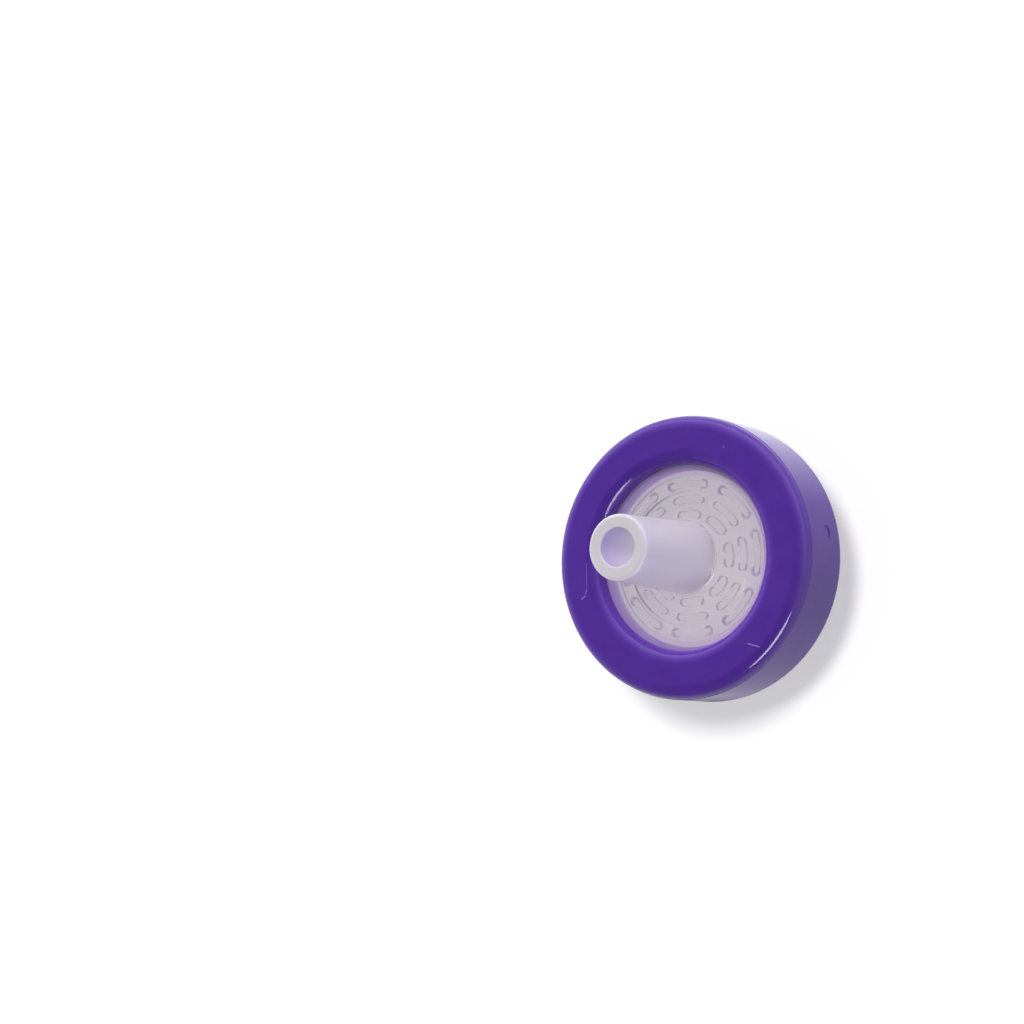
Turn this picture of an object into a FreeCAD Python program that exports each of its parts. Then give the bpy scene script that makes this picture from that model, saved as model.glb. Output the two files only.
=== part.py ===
import FreeCAD
import Part
import math
import os

# Disposable syringe filter, in millimetres. +Z runs along the axis from the female luer
# hub (inlet) to the male luer tip (outlet). The origin is the centre of the hub's end
# face, on which the filter stands. Two clear moulded shells hold a membrane disc between
# their sealing lands, and a coloured ring moulded over both flanges locks them together.

# ---- driving dimensions -------------------------------------------------------------

# Fit between pieces that were moulded or pressed together
SEAT_CLEARANCE = 0.01

# How far a cutting solid reaches past what it cuts
CUT_MARGIN = 1.00

# Luer fittings: a 6 per cent cone on diameter
LUER_TAPER = 0.06

# Inlet shell: hub with the female cone and two thread lugs
HUB_LENGTH = 6.90
HUB_DIAMETER = 5.80
HUB_EDGE_RADIUS = 0.15
HUB_ROOT_RADIUS = 0.40
LUER_MOUTH_DIAMETER = 4.30
LUER_MOUTH_EDGE = 0.10
THROAT_DIAMETER = 2.00
THROAT_LENGTH = 0.45
LUG_DIAMETER = 7.80
LUG_RIM_HEIGHT = 1.00
LUG_RIM_WIDTH_DEG = 58.8
LUG_ROOT_WIDTH_DEG = 66.0
LUG_MIDDLE_DEG = 296.0
LUG_COUNT = 2
LUG_THREAD_LEAD = 5.0
LUG_FLANK_DEG = 28.0
LUG_EDGE_RADIUS = 0.12

# Inlet shell: flange and flow chamber
INLET_FLANGE_THICKNESS = 1.00
INLET_LAND_HEIGHT = 0.35
INLET_CHAMBER_DEPTH = 0.30
INLET_RIB_COUNT = 8
INLET_RIB_WIDTH = 0.40
INLET_RIB_START = 1.60

# Membrane and the sealing lands that grip its rim
MEMBRANE_DIAMETER = 11.00
MEMBRANE_THICKNESS = 0.15
LAND_WIDTH = 0.32

# Outlet shell: flange, drainage chamber and male cone
FLANGE_DIAMETER = 14.60
FLANGE_EDGE_RADIUS = 0.10
OUTLET_FLANGE_THICKNESS = 0.92
OUTLET_LAND_HEIGHT = 0.30
CENTRE_STEP_DIAMETER = 8.50
CENTRE_STEP_DEPTH = 0.07
CENTRE_STEP_SLOPE_DEG = 26.0
TIP_LENGTH = 8.13
TIP_END_DIAMETER = 3.97
TIP_END_RADIUS = 0.22
TIP_ROOT_RADIUS = 0.35
TIP_BORE_END_DIAMETER = 2.36
TIP_BORE_DRAFT_DEG = 0.8
TIP_BORE_EDGE_RADIUS = 0.08

# Outlet shell: rows of broken concentric ribs, as (inner diameter, outer diameter)
RIB_ROWS = ((4.80, 6.00), (6.88, 7.84), (8.92, 9.74))
RIBS_PER_ROW = 8
RIB_GAP_DEG = 12.0
RIB_GAP_START_DEG = 34.5
RIB_DRAFT_DEG = 6.0

# Overmoulded ring
RING_DIAMETER = 17.50
RING_HEIGHT = 5.05
RING_INLET_EDGE_RADIUS = 0.55
RING_OUTLET_EDGE_RADIUS = 0.83
PARTING_STEP = 0.03
OUTLET_RECESS_DEPTH = 1.00
OUTLET_OPENING_DIAMETER = 11.78
INLET_OPENING_DIAMETER = 11.50
OPENING_DRAFT_DEG = 8.0
OUTLET_LIP_RADIUS = 0.80
INLET_LIP_RADIUS = 0.35
GATE_DIAMETER = 0.80
GATE_DEPTH = 0.05
GATE_OFFSET = -0.50
GATE_ANGLES_DEG = (-71.0, 49.0, 169.0)

# ---- levels along the axis, from the hub's end face ---------------------------------

INLET_FACE = HUB_LENGTH
INLET_FLANGE_TOP = INLET_FACE + INLET_FLANGE_THICKNESS
MEMBRANE_BOTTOM = INLET_FLANGE_TOP + INLET_LAND_HEIGHT + SEAT_CLEARANCE
MEMBRANE_TOP = MEMBRANE_BOTTOM + MEMBRANE_THICKNESS
OUTLET_SEAT = MEMBRANE_TOP + SEAT_CLEARANCE
OUTLET_FLANGE_BOTTOM = OUTLET_SEAT + OUTLET_LAND_HEIGHT
OUTLET_FACE = OUTLET_FLANGE_BOTTOM + OUTLET_FLANGE_THICKNESS
TIP_END = OUTLET_FACE + TIP_LENGTH
RING_TOP = OUTLET_FACE + OUTLET_RECESS_DEPTH
RING_BOTTOM = RING_TOP - RING_HEIGHT

# ---- radii shared by pieces that seat on each other ---------------------------------

LAND_OUTER = MEMBRANE_DIAMETER / 2 + SEAT_CLEARANCE
LAND_INNER = LAND_OUTER - LAND_WIDTH
FLANGE_RADIUS = FLANGE_DIAMETER / 2
HUB_RADIUS = HUB_DIAMETER / 2


def vector(r, z):
    """A point of an axial section: radius along X, height along Z."""
    return FreeCAD.Vector(r, 0, z)


def section_edges(corners):
    """Edges of a closed section whose corners are (radius, height, rounding)."""
    starts, ends, middles = [], [], []
    for i, (r, z, rounding) in enumerate(corners):
        corner = vector(r, z)
        if rounding == 0:
            starts.append(corner)
            ends.append(corner)
            middles.append(None)
            continue
        back = vector(*corners[i - 1][:2]) - corner
        ahead = vector(*corners[(i + 1) % len(corners)][:2]) - corner
        half_angle = back.getAngle(ahead) / 2
        reach = rounding / math.tan(half_angle)
        back.normalize()
        ahead.normalize()
        inward = back + ahead
        inward.normalize()
        starts.append(corner + back * reach)
        ends.append(corner + ahead * reach)
        middles.append(corner + inward * (rounding / math.sin(half_angle) - rounding))
    edges = []
    for i, middle in enumerate(middles):
        if middle is not None:
            edges.append(Part.Arc(starts[i], middle, ends[i]).toShape())
        following = starts[(i + 1) % len(starts)]
        edges.append(Part.LineSegment(ends[i], following).toShape())
    return edges


def turned(corners, angle=360.0):
    """A solid of revolution about Z from a closed section, starting at the XZ plane."""
    face = Part.Face(Part.Wire(section_edges(corners)))
    return face.revolve(FreeCAD.Vector(0, 0, 0), FreeCAD.Vector(0, 0, 1), angle)


def spun(shape, angle):
    """A copy of the shape turned about Z."""
    copy = shape.copy()
    copy.rotate(FreeCAD.Vector(0, 0, 0), FreeCAD.Vector(0, 0, 1), angle)
    return copy


def spun_point(radius, angle):
    """The point of the XY plane at a radius and an angle in degrees."""
    turn = math.radians(angle)
    return FreeCAD.Vector(radius * math.cos(turn), radius * math.sin(turn), 0)


def around(shape, count, start=0.0):
    """Copies of the shape evenly spaced about Z."""
    return [spun(shape, start + i * 360.0 / count) for i in range(count)]


def one_solid(shape):
    """The single solid of a finished boolean, without seams between like faces."""
    return shape.removeSplitter().Solids[0]


def luer_radius(end_diameter, distance):
    """Radius of a luer cone at a distance from its small end."""
    return (end_diameter + LUER_TAPER * distance) / 2


# ---- inlet shell --------------------------------------------------------------------


def thread_lug():
    """One lug of the hub: a short piece of right-hand thread, flush with the end face.

    A round blank is cut down by a wedge, whose sides give the lug's ends their draft,
    and by the swept thread, whose flank towards the ring climbs along the helix.
    """
    root = HUB_RADIUS - LUG_EDGE_RADIUS
    rim = LUG_DIAMETER / 2
    climb = LUG_THREAD_LEAD * LUG_ROOT_WIDTH_DEG / 360
    flank_slope = math.tan(math.radians(LUG_FLANK_DEG))
    top = LUG_RIM_HEIGHT + climb + (rim - root) * flank_slope
    blank = turned([(root, 0, 0), (rim, 0, LUG_EDGE_RADIUS), (rim, top, 0), (root, top, 0)])
    wedge_sides = []
    for side in (1, -1):
        at_root = spun_point(root, side * LUG_ROOT_WIDTH_DEG / 2)
        at_rim = spun_point(rim, side * LUG_RIM_WIDTH_DEG / 2)
        past_rim = at_rim + (at_rim - at_root).normalize() * CUT_MARGIN
        wedge_sides.append((at_root, past_rim))
    first, second = wedge_sides
    wedge_face = Part.Face(Part.makePolygon([*first, *reversed(second), first[0]]))
    wedge = wedge_face.extrude(FreeCAD.Vector(0, 0, top))
    inside = root - CUT_MARGIN
    outside = rim + CUT_MARGIN
    start_level = LUG_RIM_HEIGHT - climb / 2
    thread_section = [
        vector(inside, -climb),
        vector(outside, -climb),
        vector(outside, start_level - (outside - rim) * flank_slope),
        vector(inside, start_level + (rim - inside) * flank_slope),
    ]
    helix = Part.makeHelix(LUG_THREAD_LEAD, climb, rim)
    thread = helix.makePipeShell(
        [Part.makePolygon(thread_section + thread_section[:1])], True, True
    )
    return blank.common(wedge).common(spun(thread, -LUG_ROOT_WIDTH_DEG / 2))


def inlet_shell():
    """Hub with the female luer cone, flange, sealing land and radial flow ribs."""
    mouth = LUER_MOUTH_DIAMETER / 2
    throat = THROAT_DIAMETER / 2
    land_top = INLET_FLANGE_TOP + INLET_LAND_HEIGHT
    chamber_floor = land_top - INLET_CHAMBER_DEPTH
    luer_depth = chamber_floor - THROAT_LENGTH
    cone_end = luer_radius(LUER_MOUTH_DIAMETER, -luer_depth)
    body = turned(
        [
            (HUB_RADIUS, 0, HUB_EDGE_RADIUS),
            (HUB_RADIUS, INLET_FACE, HUB_ROOT_RADIUS),
            (FLANGE_RADIUS, INLET_FACE, FLANGE_EDGE_RADIUS),
            (FLANGE_RADIUS, INLET_FLANGE_TOP, FLANGE_EDGE_RADIUS),
            (LAND_OUTER, INLET_FLANGE_TOP, 0),
            (LAND_OUTER, land_top, 0),
            (LAND_INNER, land_top, 0),
            (LAND_INNER, chamber_floor, 0),
            (throat, chamber_floor, 0),
            (throat, luer_depth, 0),
            (cone_end, luer_depth, 0),
            (mouth, 0, LUER_MOUTH_EDGE),
        ]
    )
    rib_length = LAND_INNER - LAND_WIDTH - INLET_RIB_START
    rib = Part.makeBox(
        rib_length,
        INLET_RIB_WIDTH,
        INLET_CHAMBER_DEPTH,
        FreeCAD.Vector(INLET_RIB_START, -INLET_RIB_WIDTH / 2, chamber_floor),
    )
    lugs = around(thread_lug(), LUG_COUNT, LUG_MIDDLE_DEG)
    ribs = around(rib, INLET_RIB_COUNT, RIB_GAP_START_DEG)
    return one_solid(body.fuse(lugs + ribs))


# ---- outlet shell -------------------------------------------------------------------


def broken_rib(inner_diameter, outer_diameter, root):
    """One arc of a rib row, drafted and round at both ends, from the plate to its seat."""
    height = root - OUTLET_SEAT
    lean = height * math.tan(math.radians(RIB_DRAFT_DEG))
    inner = inner_diameter / 2
    outer = outer_diameter / 2
    middle = (inner + outer) / 2
    half_width = (outer - inner) / 2
    end_angle = math.degrees(math.asin(half_width / middle))
    span = 360.0 / RIBS_PER_ROW - RIB_GAP_DEG - 2 * end_angle
    arc = turned(
        [
            (inner + lean, OUTLET_SEAT, 0),
            (outer - lean, OUTLET_SEAT, 0),
            (outer, root, 0),
            (inner, root, 0),
        ],
        span,
    )
    end = Part.makeCone(
        half_width - lean, half_width, height, FreeCAD.Vector(middle, 0, OUTLET_SEAT)
    )
    return spun(arc.fuse([end, spun(end, span)]), end_angle)


def outlet_shell():
    """Plate with the male luer tip, sealing land and broken concentric ribs."""
    channel_floor = OUTLET_FLANGE_BOTTOM
    centre_floor = channel_floor + CENTRE_STEP_DEPTH
    step_outer = CENTRE_STEP_DIAMETER / 2
    step_inner = step_outer - CENTRE_STEP_DEPTH / math.tan(math.radians(CENTRE_STEP_SLOPE_DEG))
    land_lean = OUTLET_LAND_HEIGHT * math.tan(math.radians(RIB_DRAFT_DEG))
    tip_root = luer_radius(TIP_END_DIAMETER, TIP_LENGTH)
    bore_end = TIP_BORE_END_DIAMETER / 2
    bore_length = TIP_END - centre_floor
    bore_root = bore_end - bore_length * math.tan(math.radians(TIP_BORE_DRAFT_DEG))
    body = turned(
        [
            (bore_root, centre_floor, 0),
            (step_inner, centre_floor, 0),
            (step_outer, channel_floor, 0),
            (LAND_INNER - land_lean, channel_floor, 0),
            (LAND_INNER, OUTLET_SEAT, 0),
            (LAND_OUTER, OUTLET_SEAT, 0),
            (LAND_OUTER, OUTLET_FLANGE_BOTTOM, 0),
            (FLANGE_RADIUS, OUTLET_FLANGE_BOTTOM, FLANGE_EDGE_RADIUS),
            (FLANGE_RADIUS, OUTLET_FACE, FLANGE_EDGE_RADIUS),
            (tip_root, OUTLET_FACE, TIP_ROOT_RADIUS),
            (TIP_END_DIAMETER / 2, TIP_END, TIP_END_RADIUS),
            (bore_end, TIP_END, TIP_BORE_EDGE_RADIUS),
        ]
    )
    ribs = []
    for inner, outer in RIB_ROWS:
        floor = centre_floor if outer / 2 < step_inner else channel_floor
        rib = broken_rib(inner, outer, floor)
        ribs += around(rib, RIBS_PER_ROW, RIB_GAP_START_DEG + RIB_GAP_DEG / 2)
    return one_solid(body.fuse(ribs))


# ---- membrane and ring --------------------------------------------------------------


def membrane():
    """Flat membrane disc, gripped at its rim by the two sealing lands."""
    return Part.makeCylinder(
        MEMBRANE_DIAMETER / 2, MEMBRANE_THICKNESS, FreeCAD.Vector(0, 0, MEMBRANE_BOTTOM)
    )


def overmoulded_ring():
    """Ring that wraps both flanges, with a tongue between them up to the lands."""
    outer = RING_DIAMETER / 2
    parting = RING_TOP - RING_OUTLET_EDGE_RADIUS - PARTING_STEP
    draft = math.tan(math.radians(OPENING_DRAFT_DEG))
    outlet_lip = OUTLET_OPENING_DIAMETER / 2
    outlet_root = outlet_lip - draft * OUTLET_RECESS_DEPTH
    inlet_lip = INLET_OPENING_DIAMETER / 2
    inlet_root = inlet_lip - draft * (INLET_FACE - RING_BOTTOM)
    pocket = FLANGE_RADIUS + SEAT_CLEARANCE
    tongue = LAND_OUTER + SEAT_CLEARANCE
    ring = turned(
        [
            (outer, RING_BOTTOM, RING_INLET_EDGE_RADIUS),
            (outer, parting, 0),
            (outer - PARTING_STEP, parting + PARTING_STEP, 0),
            (outer - PARTING_STEP, RING_TOP, RING_OUTLET_EDGE_RADIUS - PARTING_STEP),
            (outlet_lip, RING_TOP, OUTLET_LIP_RADIUS),
            (outlet_root, OUTLET_FACE + SEAT_CLEARANCE, 0),
            (pocket, OUTLET_FACE + SEAT_CLEARANCE, FLANGE_EDGE_RADIUS),
            (pocket, OUTLET_FLANGE_BOTTOM - SEAT_CLEARANCE, FLANGE_EDGE_RADIUS),
            (tongue, OUTLET_FLANGE_BOTTOM - SEAT_CLEARANCE, 0),
            (tongue, INLET_FLANGE_TOP + SEAT_CLEARANCE, 0),
            (pocket, INLET_FLANGE_TOP + SEAT_CLEARANCE, FLANGE_EDGE_RADIUS),
            (pocket, INLET_FACE - SEAT_CLEARANCE, FLANGE_EDGE_RADIUS),
            (inlet_root, INLET_FACE - SEAT_CLEARANCE, 0),
            (inlet_lip, RING_BOTTOM, INLET_LIP_RADIUS),
        ]
    )
    gate_level = (RING_TOP + RING_BOTTOM) / 2 + GATE_OFFSET
    gate = Part.makeCylinder(
        GATE_DIAMETER / 2,
        GATE_DEPTH + CUT_MARGIN,
        FreeCAD.Vector(outer - GATE_DEPTH, 0, gate_level),
        FreeCAD.Vector(1, 0, 0),
    )
    return one_solid(ring.cut([spun(gate, angle) for angle in GATE_ANGLES_DEG]))


PIECES = {
    "inlet_shell": inlet_shell,
    "outlet_shell": outlet_shell,
    "membrane": membrane,
    "overmoulded_ring": overmoulded_ring,
}

os.makedirs("parts", exist_ok=True)
for name, make in PIECES.items():
    solid = make()
    solid.exportStep("parts/" + name + ".step")
    print(name, round(solid.Volume, 2), "mm3", "valid" if solid.isValid() else "INVALID")
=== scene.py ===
import math
from typing import NamedTuple

import bpy
from mathutils import Matrix, Vector


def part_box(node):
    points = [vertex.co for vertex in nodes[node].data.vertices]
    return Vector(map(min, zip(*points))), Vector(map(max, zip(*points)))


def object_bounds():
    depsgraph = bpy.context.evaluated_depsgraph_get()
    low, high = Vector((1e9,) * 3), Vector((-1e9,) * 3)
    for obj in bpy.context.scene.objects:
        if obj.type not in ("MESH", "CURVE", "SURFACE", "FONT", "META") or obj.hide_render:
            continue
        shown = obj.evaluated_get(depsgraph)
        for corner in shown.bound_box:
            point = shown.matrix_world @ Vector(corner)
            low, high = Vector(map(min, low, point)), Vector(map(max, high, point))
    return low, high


# A disposable syringe filter that stands on its hub: a violet ring moulded over two
# translucent polypropylene shells with a white membrane between them.

MM = 0.001

# ---- camera -------------------------------------------------------------------------

CAMERA_LENS_MM = 91.4
CAMERA_CLIP = (0.01, 20)  # metres
CAMERA_PLACE_MM = (0.0, -79.79, 148.45)
CAMERA_UP = (0.98835, 0.12238, 0.09051)
CAMERA_BACK = (-0.00718, -0.55645, 0.83085)  # away from the part

# ---- light --------------------------------------------------------------------------

WHITE = (1.0, 1.0, 1.0)
WARM = (1.0, 0.95, 0.84)

# The world lights matt surfaces evenly. In gloss and glass it is 1 at the horizon,
# dimmer overhead, and brighter towards +X by the given share.
WORLD_LIGHT = 0.26
WORLD_OVERHEAD = 0.20
WORLD_DIMMING = (0.2, 0.9)  # heights on a unit sphere where it starts and ends
WORLD_SIDES = 0.75

# The floor glows less near the part, where the key lamp lights it too. Gloss and glass show a
# share of that glow, and a brighter round glowing patch beside the part, painted light that shows
# only in them.
FLOOR_SIZE = 4.0  # metres
FLOOR_COLOUR = (0.9, 0.9, 0.9)
FLOOR_GLOW = 0.42
FLOOR_GLOW_NEAR_MM = 12.0
FLOOR_GLOW_FAR_MM = 30.0
FLOOR_MIRRORED_GLOW = 0.20
PATCH_GLOW = 1.2
PATCH_PLACE_MM = (13.0, -1.0, 0.0)
PATCH_CORE_MM = 2.0
PATCH_EDGE_MM = 11.0


class Lamp(NamedTuple):
    """An elliptical area lamp, aimed at the middle of the part."""

    direction: tuple  # from the part to the lamp
    distance: float  # metres
    size: tuple  # width and height in metres
    level: float  # light on a surface that faces it, where 1 shows a colour as written
    colour: tuple
    rays: tuple  # the kinds of ray that it lights: diffuse, glossy, transmission
    only: tuple  # the pieces that it lights, or none for everything


TIP = ("outlet_shell",)
UPPER = ("overmoulded_ring", "outlet_shell")
SHELLS = ("outlet_shell", "inlet_shell")
PART = ("overmoulded_ring", "outlet_shell", "inlet_shell", "membrane")

# The key makes the shadow, and four low lamps light the part from its sides. The window
# is only a highlight on the ring and tip, and the glint a streak at the root of the tip.
LAMPS = {
    "key": Lamp((0.187, -0.258, 0.948), 0.60, (0.11, 0.11), 0.48, WHITE, ("diffuse",), ()),
    "top": Lamp((0.988, 0, 0.15), 0.30, (0.25, 0.06), 1.00, WARM, ("diffuse",), PART),
    "back": Lamp((0, 0.988, 0.15), 0.30, (0.25, 0.06), 1.05, WARM, ("diffuse",), PART),
    "bottom": Lamp((-0.988, 0, 0.15), 0.30, (0.25, 0.06), 0.18, WARM, ("diffuse",), PART),
    "front": Lamp((-0.25, -0.96, 0.06), 0.30, (1.20, 0.06), 0.40, WHITE, ("diffuse",), SHELLS),
    "window": Lamp((-0.64, -0.61, 0.46), 0.60, (0.42, 0.17), 0.55, WHITE, ("glossy",), UPPER),
    "glint": Lamp((-0.45, -0.69, 0.55), 0.60, (0.30, 0.13), 0.45, WHITE, ("transmission",), TIP),
}

# ---- frame --------------------------------------------------------------------------

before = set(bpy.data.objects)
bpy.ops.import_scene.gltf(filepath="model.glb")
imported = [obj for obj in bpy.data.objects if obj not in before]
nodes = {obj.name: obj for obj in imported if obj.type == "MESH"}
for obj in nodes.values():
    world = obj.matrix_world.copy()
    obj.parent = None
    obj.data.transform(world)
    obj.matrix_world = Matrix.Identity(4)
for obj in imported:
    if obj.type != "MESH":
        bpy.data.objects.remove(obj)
cad_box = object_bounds()

# ---- places on the part -------------------------------------------------------------

RING_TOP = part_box("overmoulded_ring")[1].z
PARTING_MM = RING_TOP / MM - 0.845
TIP_END_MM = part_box("outlet_shell")[1].z / MM
CUT_START_MM = TIP_END_MM - 0.12  # where the frosting of the tip's cut end starts
CUT_MM = TIP_END_MM - 0.02
PLATE_MM = TIP_END_MM - 8.13
SEAT_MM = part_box("outlet_shell")[0].z / MM
CHANNEL_MM = SEAT_MM + 0.30


class RibRow(NamedTuple):
    """A row of ribs under the plate of the outlet shell."""

    middle: float  # radius of its middle line in mm
    half_width: float  # mm
    end_deg: float  # from a rib's centre to the middle of its round end


RIB_ROWS = (RibRow(2.70, 0.30, 10.1), RibRow(3.68, 0.24, 12.8), RibRow(4.665, 0.205, 14.0))
RIBS_PER_ROW = 8
RIB_CENTRE_DEG = 12.0


class FlowMark(NamedTuple):
    """A fine straight flow mark on the outlet face of the ring, a shallow groove with a painted
    glint along it.
    """

    start: tuple  # x and y in mm
    end: tuple
    strength: float


FLOW_MARKS = (
    FlowMark((-4.52, -5.65), (-4.60, -6.61), 1.0),
    FlowMark((-3.32, 6.10), (-3.58, 6.35), 0.9),
    FlowMark((-1.17, 6.42), (-2.84, 6.08), 0.35),
    FlowMark((-2.84, 6.08), (-3.32, 6.10), 0.5),
    FlowMark((6.94, -2.06), (7.04, -2.06), 0.5),
)
FLOW_MARK_WIDTH_MM = 0.05
FLOW_MARK_DEPTH_MM = 0.004

# ---- colours ------------------------------------------------------------------------

# Each pair is the two ends of a faint cloudy variation.
RING_COLOURS = ((0.070, 0.0185, 0.290), (0.079, 0.0225, 0.320))
MEMBRANE_COLOURS = ((0.85, 0.83, 0.85), (0.90, 0.88, 0.90))
HUB_COLOURS = ((0.87, 0.86, 0.89), (0.90, 0.89, 0.92))

# Painted violet light that the ring casts into the milky hub near it.
HUB_RING_LIGHT_COLOUR = (0.62, 0.50, 0.90)
# A lighter violet along the flow marks: a painted glint where light catches their grooves.
FLOW_MARK_GLINT_COLOUR = (0.34, 0.24, 0.66)
PLATE_COLOUR = (0.86, 0.84, 0.86)
# Painted violet light from the ring, on the plate near its rim.
PLATE_RIM_RING_LIGHT_COLOUR = (0.76, 0.60, 0.90)
# A painted dark violet reflection of the ring in the round ends of the ribs.
RIB_END_REFLECTION_COLOUR = (0.11, 0.05, 0.42)
# The ring's violet seen on the flange it is moulded onto, painted lighter than the ring to stand
# for light that scatters through it.
RING_CONTACT_LIT_COLOUR = (0.39, 0.23, 0.72)
TIP_COLOUR = (0.84, 0.83, 0.92)
# Painted violet shade inside the bore, towards the tip's end.
TIP_BORE_SHADE_COLOUR = (0.54, 0.50, 0.84)
TIP_CUT_COLOUR = (0.66, 0.645, 0.70)
PASSING_COLOUR = (0.975, 0.945, 0.985)  # of light that passes one surface of a shell

POLYPROPYLENE_IOR = 1.49

# ---- node helpers -------------------------------------------------------------------

# The sockets of a Mix node that take and give colours
COLOUR_A, COLOUR_B, COLOUR_RESULT = 6, 7, 2


def new_material(name):
    """An empty node material with its tree and output."""
    material = bpy.data.materials.new(name)
    material.use_nodes = True
    tree = material.node_tree
    tree.nodes.clear()
    return material, tree, tree.nodes.new("ShaderNodeOutputMaterial")


def add(tree, kind, inputs=None, **settings):
    """A node with its settings and its input values or links."""
    node = tree.nodes.new(kind)
    for key, value in settings.items():
        setattr(node, key, value)
    for key, value in (inputs or {}).items():
        if isinstance(value, bpy.types.NodeSocket):
            tree.links.new(value, node.inputs[key])
        else:
            node.inputs[key].default_value = value
    return node


def calculate(tree, operation, *values):
    """The result of a Math node."""
    return add(tree, "ShaderNodeMath", dict(enumerate(values)), operation=operation).outputs[0]


def times(tree, first, second):
    """The product of two values."""
    return calculate(tree, "MULTIPLY", first, second)


def mapped(tree, value, source, target, **settings):
    """A value mapped from one range onto another, and held at its ends."""
    inputs = {
        "Value": value,
        "From Min": source[0],
        "From Max": source[1],
        "To Min": target[0],
        "To Max": target[1],
    }
    return add(tree, "ShaderNodeMapRange", inputs, **settings).outputs["Result"]


def faded(tree, value, start, end):
    """1 where the value is at start, falling smoothly to 0 at end."""
    return mapped(tree, value, (start, end), (1.0, 0.0), interpolation_type="SMOOTHSTEP")


def risen(tree, value, start, end):
    """0 where the value is at start, rising evenly to 1 at end."""
    return mapped(tree, value, (start, end), (0.0, 1.0))


def mixed(tree, factor, first, second):
    """A value between two by a factor."""
    inputs = {"Factor": factor, "A": first, "B": second}
    return add(tree, "ShaderNodeMix", inputs).outputs["Result"]


def stepped(tree, value, *stops):
    """A value that goes evenly from each (input, output) stop to the next."""
    result = stops[0][1]
    for (low, _), (high, target) in zip(stops, stops[1:]):
        result = mixed(tree, risen(tree, value, low, high), result, target)
    return result


def scaled_where(tree, value, mask, scale):
    """The value, times the scale where the mask is 1."""
    return times(tree, value, mixed(tree, mask, 1.0, scale))


def tint(tree, factor, first, second):
    """A colour between two, each a colour or a socket, by a factor."""
    ends = [c if isinstance(c, bpy.types.NodeSocket) else (*c, 1) for c in (first, second)]
    inputs = {"Factor": factor, COLOUR_A: ends[0], COLOUR_B: ends[1]}
    return add(tree, "ShaderNodeMix", inputs, data_type="RGBA").outputs[COLOUR_RESULT]


def vector_maths(tree, operation, *vectors):
    """The outputs of a Vector Math node."""
    inputs = dict(enumerate(vectors))
    return add(tree, "ShaderNodeVectorMath", inputs, operation=operation).outputs


def split(tree, vector):
    """The X, Y and Z of a vector."""
    return add(tree, "ShaderNodeSeparateXYZ", {"Vector": vector}).outputs


def object_point(tree):
    """The point in metres in the frame of the part."""
    return add(tree, "ShaderNodeTexCoord").outputs["Object"]


def height_mm(tree):
    """The height above the floor in mm."""
    return calculate(tree, "DIVIDE", split(tree, object_point(tree))["Z"], MM)


def radius_mm(tree):
    """The distance from the axis in mm."""
    flat = vector_maths(tree, "MULTIPLY", object_point(tree), (1 / MM, 1 / MM, 0))["Vector"]
    return vector_maths(tree, "LENGTH", flat)["Value"]


def noise(tree, size_mm, detail=3.0, roughness=0.5):
    """Noise from 0 to 1 whose features are about the given size."""
    inputs = {
        "Vector": object_point(tree),
        "Scale": 1 / (size_mm * MM),
        "Detail": detail,
        "Roughness": roughness,
    }
    return add(tree, "ShaderNodeTexNoise", inputs).outputs["Fac"]


def spread(tree, value, low, high):
    """Maps the middle of a noise, 0.3 to 0.7, onto low to high."""
    return mapped(tree, value, (0.3, 0.7), (low, high))


def clouded(tree, size_mm, colours):
    """A colour that varies between two in clouds of about the given size."""
    return tint(tree, spread(tree, noise(tree, size_mm), 0, 1), *colours)


def bump(tree, height, depth_mm, normal=None):
    """A bump of the given depth from a height of 0 to 1."""
    inputs = {"Height": height, "Strength": 1.0, "Distance": depth_mm * MM}
    if normal is not None:
        inputs["Normal"] = normal
    return add(tree, "ShaderNodeBump", inputs).outputs["Normal"]


# ---- ring ---------------------------------------------------------------------------


def on_flow_mark(tree, mark):
    """The strength on a flow mark, and 0 beside it."""
    along = Vector((mark.end[0] - mark.start[0], mark.end[1] - mark.start[1], 0))
    start = (mark.start[0] * MM, mark.start[1] * MM, 0)
    moved = vector_maths(tree, "SUBTRACT", object_point(tree), start)["Vector"]
    turned = add(
        tree,
        "ShaderNodeVectorRotate",
        {"Vector": moved, "Angle": -math.atan2(along.y, along.x)},
        rotation_type="Z_AXIS",
    ).outputs["Vector"]
    place = split(tree, turned)
    beside = calculate(tree, "ABSOLUTE", place["Y"])
    width = FLOW_MARK_WIDTH_MM * MM
    half = along.length * MM / 2
    past_middle = calculate(tree, "ABSOLUTE", calculate(tree, "SUBTRACT", place["X"], half))
    line = times(tree, faded(tree, beside, 0.2 * width, width), mark.strength)
    line = times(tree, line, faded(tree, past_middle, 0.6 * half, half + width))
    return times(tree, line, faded(tree, place["Z"], RING_TOP, RING_TOP - 0.2 * MM))


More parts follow.
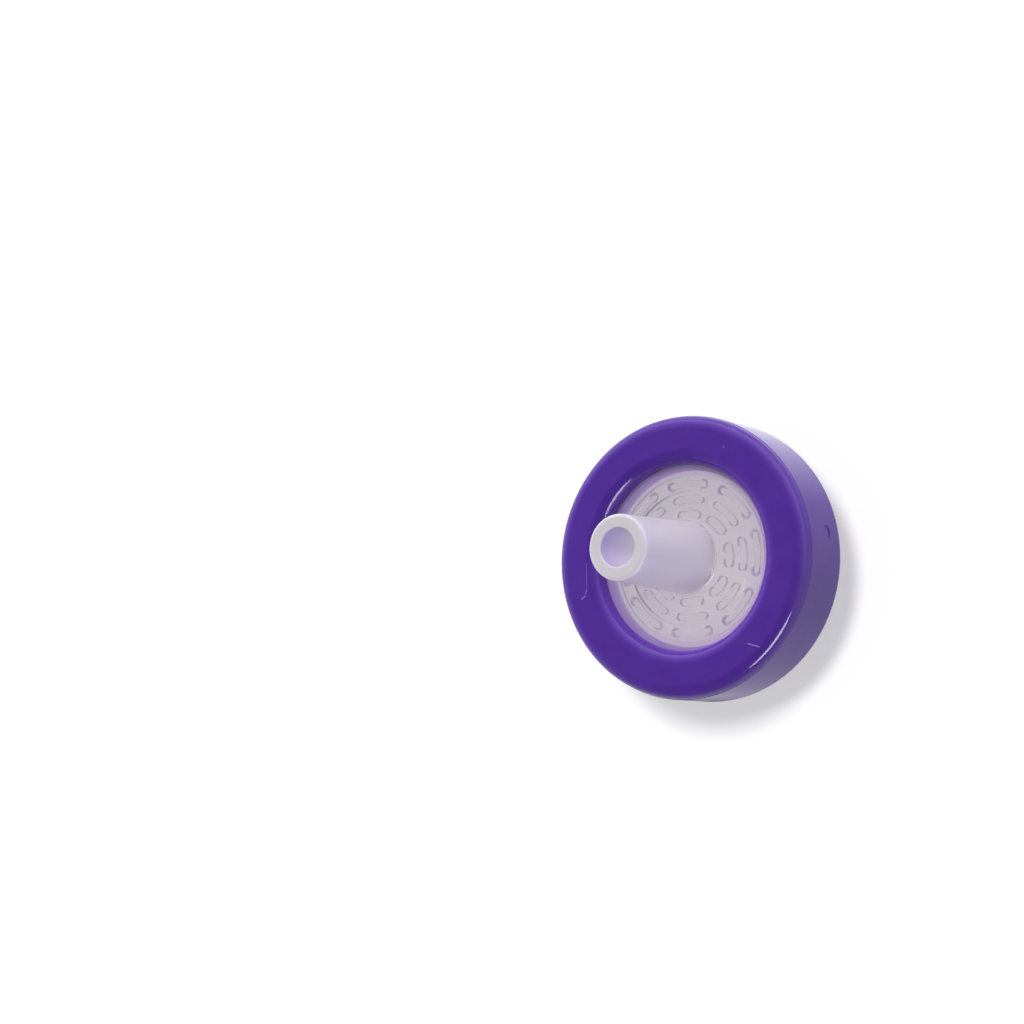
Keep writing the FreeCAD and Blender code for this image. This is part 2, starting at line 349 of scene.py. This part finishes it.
def ring_material():
    """Violet polypropylene, glossy, satin in its opening and at its parting line, with painted
    glints along its flow marks.
    """
    material, tree, output = new_material("violet_polypropylene")
    plain = clouded(tree, 1.6, RING_COLOURS)
    groove_and_glint = 0.0
    for mark in FLOW_MARKS:
        groove_and_glint = calculate(tree, "MAXIMUM", on_flow_mark(tree, mark), groove_and_glint)
    gloss = spread(tree, noise(tree, 0.5), 0.08, 0.12)
    beside = calculate(tree, "ABSOLUTE", calculate(tree, "SUBTRACT", height_mm(tree), PARTING_MM))
    parting = faded(tree, beside, 0.02, 0.03)
    opening = faded(tree, radius_mm(tree), 5.90, 6.02)
    satin = calculate(tree, "MAXIMUM", parting, opening)
    ripple = bump(tree, noise(tree, 0.35, 2), 0.0005)
    shader = add(
        tree,
        "ShaderNodeBsdfPrincipled",
        {
            # The lighter violet along the flow marks is a painted glint, and the bump below is
            # their real groove.
            "Base Color": tint(tree, times(tree, groove_and_glint, 0.85), plain, FLOW_MARK_GLINT_COLOUR),
            "Roughness": calculate(tree, "MULTIPLY_ADD", satin, 0.4, gloss),
            "IOR": POLYPROPYLENE_IOR,
            "Normal": bump(tree, groove_and_glint, FLOW_MARK_DEPTH_MM, ripple),
        },
    )
    tree.links.new(shader.outputs[0], output.inputs["Surface"])
    return material


# ---- membrane -----------------------------------------------------------------------


def membrane_material():
    """White micro-porous membrane: matt, with a fine felted grain."""
    material, tree, output = new_material("membrane_white")
    grain = noise(tree, 0.05, 4, 0.6)
    shader = add(
        tree,
        "ShaderNodeBsdfPrincipled",
        {
            "Base Color": tint(tree, spread(tree, grain, 0, 1), *MEMBRANE_COLOURS),
            "Roughness": spread(tree, noise(tree, 0.3), 0.75, 0.9),
            "Normal": bump(tree, grain, 0.004),
        },
    )
    tree.links.new(shader.outputs[0], output.inputs["Surface"])
    return material


# ---- shells -------------------------------------------------------------------------


def choose(tree, factor, otherwise, chosen):
    """One shader where the factor is 0, and another where it is 1."""
    inputs = {0: factor, 1: otherwise, 2: chosen}
    return add(tree, "ShaderNodeMixShader", inputs).outputs[0]


def polypropylene(name, colour, clearness, roughness):
    """Natural polypropylene, see-through with some milk in it.

    The last three arguments are functions of the node tree that give sockets. Shadow
    rays and diffuse rays pass it unbent, and so do glossy rays that come from outside.
    """
    material, tree, output = new_material(name)
    ripple = spread(tree, noise(tree, 0.6), 0.9, 1.1)
    cloud = spread(tree, noise(tree, 2.5, 2), 0.96, 1.03)
    shader = add(
        tree,
        "ShaderNodeBsdfPrincipled",
        {
            "Base Color": colour(tree),
            "Roughness": times(tree, roughness(tree), ripple),
            "IOR": POLYPROPYLENE_IOR,
            "Transmission Weight": times(tree, clearness(tree), cloud),
            "Normal": bump(tree, noise(tree, 0.5, 2), 0.0004),
        },
    ).outputs[0]
    passing = add(tree, "ShaderNodeBsdfTransparent", {"Color": (*PASSING_COLOUR, 1)}).outputs[0]
    path = add(tree, "ShaderNodeLightPath").outputs
    inside = calculate(tree, "GREATER_THAN", path["Transmission Depth"], 0.5)
    mirrored = choose(tree, inside, passing, shader)
    surface = choose(tree, path["Is Shadow Ray"], shader, passing)
    surface = choose(tree, path["Is Glossy Ray"], surface, mirrored)
    surface = choose(tree, path["Is Diffuse Ray"], surface, passing)
    tree.links.new(surface, output.inputs["Surface"])
    return material


def rib_walls(tree):
    """1 on the side walls of the ribs."""
    return stepped(
        tree,
        height_mm(tree),
        (SEAT_MM + 0.01, 0.0),
        (SEAT_MM + 0.03, 1.0),
        (CHANNEL_MM - 0.02, 1.0),
        (CHANNEL_MM - 0.01, 0.0),
    )


def rib_end_reflections(tree):
    """Up to 1 on the round ends of the ribs, unevenly, and 0 elsewhere: where a dark violet
    reflection of the ring is painted.
    """
    place = split(tree, object_point(tree))
    angle = calculate(tree, "ARCTAN2", place["Y"], place["X"])
    from_centre = calculate(tree, "SUBTRACT", angle, math.radians(RIB_CENTRE_DEG))
    half_step = math.pi / RIBS_PER_ROW
    from_nearest = calculate(tree, "WRAP", from_centre, half_step, -half_step)
    turn = calculate(tree, "ABSOLUTE", from_nearest)
    radius = radius_mm(tree)
    ends = 0.0
    for row in RIB_ROWS:
        past_end = calculate(tree, "SUBTRACT", turn, math.radians(row.end_deg))
        along = times(tree, past_end, row.middle)
        across = calculate(tree, "SUBTRACT", radius, row.middle)
        squares = calculate(tree, "MULTIPLY_ADD", along, along, times(tree, across, across))
        distance = calculate(tree, "SQRT", squares)
        end = faded(tree, distance, row.half_width + 0.02, row.half_width + 0.16)
        ends = calculate(tree, "MAXIMUM", end, ends)
    height = height_mm(tree)
    wall = times(
        tree,
        faded(tree, height, CHANNEL_MM + 0.02, CHANNEL_MM + 0.04),
        faded(tree, height, SEAT_MM + 0.03, SEAT_MM + 0.01),
    )
    strength = spread(tree, noise(tree, 2.2, 1), 0.6, 1.0)
    return times(tree, times(tree, ends, wall), strength)


def ring_contact(tree):
    """1 on the hidden faces of the flange that the violet ring is moulded onto."""
    radius = radius_mm(tree)
    outside = risen(tree, radius, 5.44, 5.50)
    below = times(tree, outside, faded(tree, height_mm(tree), PLATE_MM - 0.5, PLATE_MM - 0.3))
    return calculate(tree, "MAXIMUM", below, risen(tree, radius, 5.88, 5.96))


def outlet_colour(tree):
    """Neutral in the plate and cooler in the tip, with painted violet light from the ring by the
    rim, painted shade in the bore, a painted reflection of the ring at the rib ends, and violet
    where it touches the ring, painted lighter for light through the ring.
    """
    height = height_mm(tree)
    radius = radius_mm(tree)
    tip = risen(tree, height, PLATE_MM, PLATE_MM + 0.5)
    # Painted violet light from the ring, towards the rim of the plate.
    rim_ring_light = times(tree, risen(tree, radius, 4.9, 5.85), faded(tree, tip, 0.2, 0.4))
    # Painted violet shade inside the bore.
    bore_shade = times(
        tree,
        faded(tree, radius, 1.35, 1.50),
        risen(tree, height, TIP_END_MM - 3.5, TIP_END_MM - 0.5),
    )
    cut = risen(tree, height, CUT_START_MM, CUT_MM)
    colour = tint(tree, tip, PLATE_COLOUR, TIP_COLOUR)
    colour = tint(tree, rim_ring_light, colour, PLATE_RIM_RING_LIGHT_COLOUR)
    colour = tint(tree, bore_shade, colour, TIP_BORE_SHADE_COLOUR)
    colour = tint(tree, cut, colour, TIP_CUT_COLOUR)
    colour = tint(tree, ring_contact(tree), colour, RING_CONTACT_LIT_COLOUR)
    # The rib ends get a painted dark violet reflection of the ring.
    return tint(tree, rib_end_reflections(tree), colour, RIB_END_REFLECTION_COLOUR)


def outlet_clearness(tree):
    """Clear, with a frosted cut end, and less clear at the rib ends and by the ring."""
    clearness = stepped(
        tree,
        height_mm(tree),
        (PLATE_MM, 0.76),
        (PLATE_MM + 0.5, 0.78),
        (CUT_START_MM, 0.68),
        (CUT_MM, 0.25),
    )
    clearness = scaled_where(tree, clearness, rib_walls(tree), 1.28)
    clearness = scaled_where(tree, clearness, rib_end_reflections(tree), 0.1)
    return scaled_where(tree, clearness, ring_contact(tree), 0.25)


def outlet_roughness(tree):
    """Polished plate and rib walls, satin tip with a matt cut end."""
    roughness = stepped(
        tree,
        height_mm(tree),
        (PLATE_MM, 0.13),
        (PLATE_MM + 0.3, 0.32),
        (CUT_START_MM, 0.32),
        (CUT_MM, 0.50),
    )
    return calculate(tree, "MULTIPLY_ADD", rib_walls(tree), -0.08, roughness)


def inlet_colour(tree):
    """Nearly white with thin cloudy variation, and painted violet light from the ring near it."""
    plain = clouded(tree, 1.5, HUB_COLOURS)
    ring_light = faded(tree, height_mm(tree), SEAT_MM - 2.4, SEAT_MM - 5.4)
    return tint(tree, ring_light, plain, HUB_RING_LIGHT_COLOUR)


def inlet_clearness(tree):
    """Milky, more so at the cut end of the hub."""
    return stepped(tree, height_mm(tree), (0.02, 0.15), (0.25, 0.22))


def inlet_roughness(tree):
    """Satin, and matt at the cut end of the hub."""
    return stepped(tree, height_mm(tree), (0.02, 0.50), (0.25, 0.25))


def dress(node_name, material):
    """Gives a CAD node its material."""
    for slot in nodes[node_name].material_slots:
        slot.material = material


dress("overmoulded_ring", ring_material())
dress("membrane", membrane_material())
dress(
    "outlet_shell",
    polypropylene("clear_polypropylene", outlet_colour, outlet_clearness, outlet_roughness),
)
dress(
    "inlet_shell",
    polypropylene("milky_polypropylene", inlet_colour, inlet_clearness, inlet_roughness),
)

# ---- floor and world ----------------------------------------------------------------


def clear_path(tree):
    """1 for glossy and glass rays, else 0."""
    path = add(tree, "ShaderNodeLightPath").outputs
    return calculate(tree, "MAXIMUM", path["Is Glossy Ray"], path["Is Transmission Ray"])


def camera_ray(tree):
    """1 for rays from the camera, else 0."""
    return add(tree, "ShaderNodeLightPath").outputs["Is Camera Ray"]


def make_floor():
    """A white table top that keeps the shadow near the part and is pure white beyond."""
    mesh = bpy.data.meshes.new("floor")
    half = FLOOR_SIZE / 2
    corners = [(-half, -half, 0), (half, -half, 0), (half, half, 0), (-half, half, 0)]
    mesh.from_pydata(corners, [], [(0, 1, 2, 3)])
    floor = bpy.data.objects.new("floor", mesh)
    bpy.context.scene.collection.objects.link(floor)
    material, tree, output = new_material("floor_white")
    from_axis = vector_maths(tree, "LENGTH", object_point(tree))["Value"]
    fade = (FLOOR_GLOW_NEAR_MM * MM, FLOOR_GLOW_FAR_MM * MM)
    glow = mapped(tree, from_axis, fade, (FLOOR_GLOW, 1.0))
    # A round glowing patch on the floor, painted light that shows only in gloss and glass.
    patch_place = Vector(PATCH_PLACE_MM) * MM
    from_patch = vector_maths(tree, "DISTANCE", object_point(tree), patch_place)["Value"]
    glow_patch = times(tree, faded(tree, from_patch, PATCH_CORE_MM * MM, PATCH_EDGE_MM * MM), PATCH_GLOW)
    mirrored = calculate(tree, "ADD", glow_patch, FLOOR_MIRRORED_GLOW)
    mirrored = times(tree, clear_path(tree), mirrored)
    strength = times(tree, glow, calculate(tree, "MAXIMUM", camera_ray(tree), mirrored))
    plain = add(tree, "ShaderNodeBsdfDiffuse", {"Color": (*FLOOR_COLOUR, 1)})
    light = add(tree, "ShaderNodeEmission", {"Color": (*WHITE, 1), "Strength": strength})
    both = add(tree, "ShaderNodeAddShader", {0: plain.outputs[0], 1: light.outputs[0]})
    tree.links.new(both.outputs[0], output.inputs["Surface"])
    mesh.materials.append(material)


def make_world():
    """Even white light, a studio gradient in gloss and glass, and a white background."""
    world = bpy.data.worlds.new("studio")
    bpy.context.scene.world = world
    world.use_nodes = True
    tree = world.node_tree
    tree.nodes.clear()
    output = tree.nodes.new("ShaderNodeOutputWorld")
    towards = split(tree, add(tree, "ShaderNodeTexCoord").outputs["Generated"])
    overhead = mapped(tree, towards["Z"], WORLD_DIMMING, (1.0, WORLD_OVERHEAD))
    side = calculate(tree, "MULTIPLY_ADD", towards["X"], WORLD_SIDES, 1.0)
    level = mixed(tree, clear_path(tree), WORLD_LIGHT, times(tree, overhead, side))
    seen = mixed(tree, camera_ray(tree), level, 1.0)
    background = add(tree, "ShaderNodeBackground", {"Color": (*WHITE, 1), "Strength": seen})
    tree.links.new(background.outputs[0], output.inputs["Surface"])


make_floor()
make_world()

# ---- lamps and camera ---------------------------------------------------------------

middle = (cad_box[0] + cad_box[1]) / 2

for name, lamp in LAMPS.items():
    light = bpy.data.lights.new(name, "AREA")
    light.shape = "ELLIPSE"
    light.size, light.size_y = lamp.size
    light.color = lamp.colour
    light.energy = lamp.level * (math.pi * lamp.distance) ** 2
    piece = bpy.data.objects.new(name, light)
    towards = Vector(lamp.direction).normalized()
    piece.location = middle + towards * lamp.distance
    piece.rotation_euler = towards.to_track_quat("Z", "Y").to_euler()
    piece.visible_diffuse = "diffuse" in lamp.rays
    piece.visible_glossy = "glossy" in lamp.rays
    piece.visible_transmission = "transmission" in lamp.rays
    if lamp.only:
        lit = bpy.data.collections.new("lit_by_" + name)
        for node_name in lamp.only:
            lit.objects.link(nodes[node_name])
        piece.light_linking.receiver_collection = lit
    bpy.context.scene.collection.objects.link(piece)

camera = bpy.data.objects.new("camera", bpy.data.cameras.new("camera"))
camera.data.lens = CAMERA_LENS_MM
camera.data.clip_start, camera.data.clip_end = CAMERA_CLIP
back = Vector(CAMERA_BACK).normalized()
right = Vector(CAMERA_UP).cross(back).normalized()
up = back.cross(right)
camera.matrix_world = Matrix.Translation(Vector(CAMERA_PLACE_MM) * MM) @ Matrix(
    (right, up, back)
).transposed().to_4x4()
bpy.context.scene.collection.objects.link(camera)
bpy.context.scene.camera = camera
bpy.context.scene.view_settings.view_transform = "Standard"
